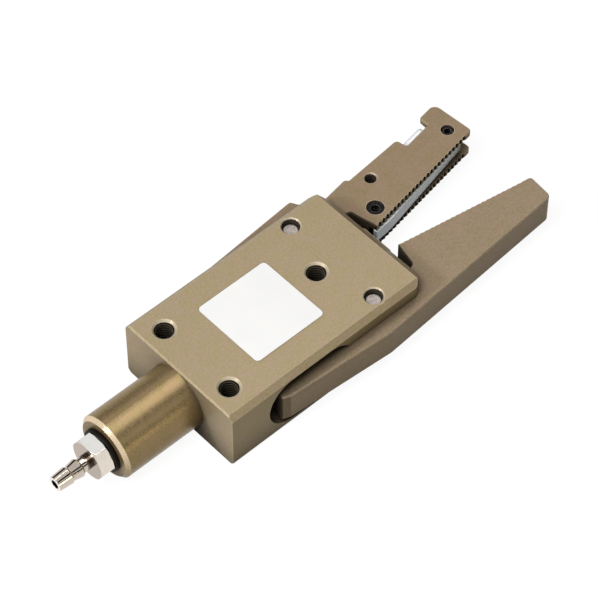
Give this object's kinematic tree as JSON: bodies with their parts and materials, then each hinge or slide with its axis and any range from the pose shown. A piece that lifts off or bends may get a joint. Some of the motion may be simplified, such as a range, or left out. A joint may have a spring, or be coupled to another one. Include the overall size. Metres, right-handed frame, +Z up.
{
  "type": "sprue gripper",
  "caption": "Pneumatic sprue gripper: flat block with an air cylinder, two pivoting serrated jaws and a sprung sensing lever in the left jaw.",
  "frame": {"origin": "middle of the block's flat bottom face", "axes": "+X from the hose fitting to the jaw tips, +Z up out of the face with the label, +Y towards the left jaw with the sensing lever"},
  "size_m": [0.1254, 0.0402, 0.0161],
  "materials": {
    "anodised_block": "satin hard anodised, dark tan",
    "anodised_jaw": "satin hard anodised, brown tan",
    "label_white": "matt",
    "bronze": "machined",
    "gasket_black": "matt",
    "seal_rubber": "satin",
    "nickel": "polished nickel plate",
    "pin_steel": "ground",
    "bearing_steel": "ground and hardened",
    "strip_steel": "ground",
    "screw_black": "black oxide",
    "spring_steel": "drawn wire",
    "piston_alloy": "turned"
  },
  "bodies": {
    "housing": {"body_block": "anodised_block", "label_plate": "label_white", "cylinder_tube": "anodised_block", "rod_guide": "bronze", "fitting_gasket": "gasket_black", "hose_fitting": "nickel", "right_pivot_pin": "pin_steel", "left_pivot_pin": "pin_steel", "return_spring": "spring_steel", "right_opening_spring": "spring_steel", "left_opening_spring": "spring_steel"},
    "piston_assembly": {"piston": "piston_alloy", "piston_seal": "seal_rubber", "piston_rod": "bearing_steel", "wedge": "bearing_steel"},
    "right_jaw": {"right_lever": "anodised_jaw", "right_bush": "bronze", "right_washers": "pin_steel", "right_roller_pin": "pin_steel"},
    "left_jaw": {"left_lever": "anodised_jaw", "left_bush": "bronze", "left_washers": "pin_steel", "left_roller_pin": "pin_steel", "sensor_pivot_screw": "screw_black", "sensor_stop_screw": "screw_black", "sensor_spring": "spring_steel"},
    "right_roller_body": {"right_roller": "bearing_steel"},
    "left_roller_body": {"left_roller": "bearing_steel"},
    "sensor": {"sensing_lever": "strip_steel"}
  },
  "joints": [
    {"name": "right_lever_pivot", "type": "hinge", "parent": "housing", "child": "right_jaw", "pos_m": [0.01535, -0.0127, 0.008], "axis": [0, 0, 1], "range_deg": [0, 10.4], "stiffness_Nm_per_rad": 0.001, "springref_deg": -17.19, "deforming": ["right_opening_spring"]},
    {"name": "left_lever_pivot", "type": "hinge", "parent": "housing", "child": "left_jaw", "pos_m": [0.01535, 0.0127, 0.008], "axis": [0, 0, 1], "range_deg": [-10.4, 0], "stiffness_Nm_per_rad": 0.001, "springref_deg": 17.19, "deforming": ["left_opening_spring"]},
    {"name": "piston_slide", "type": "slide", "parent": "housing", "child": "piston_assembly", "axis": [1, 0, 0], "range_m": [0, 0.00701], "deforming": ["return_spring"]},
    {"name": "sensing_lever_pivot", "type": "hinge", "parent": "left_jaw", "child": "sensor", "pos_m": [0.06128, 0.0122, 0.008], "axis": [0, 0, 1], "range_deg": [-1, 0], "stiffness_Nm_per_rad": 0.02, "springref_deg": 2.86, "deforming": ["sensor_spring"]},
    {"name": "right_roller_spin", "type": "hinge", "parent": "right_jaw", "child": "right_roller_body", "pos_m": [-0.007, -0.00991, 0.008], "axis": [0, 0, 1], "continuous": true},
    {"name": "left_roller_spin", "type": "hinge", "parent": "left_jaw", "child": "left_roller_body", "pos_m": [-0.007, 0.00991, 0.008], "axis": [0, 0, 1], "continuous": true}
  ],
  "couplings": [
    {"joint": "left_lever_pivot", "follows": "right_lever_pivot", "ratio": -1},
    {"joint": "piston_slide", "follows": "right_lever_pivot", "m_per_rad": 0.038564}
  ]
}
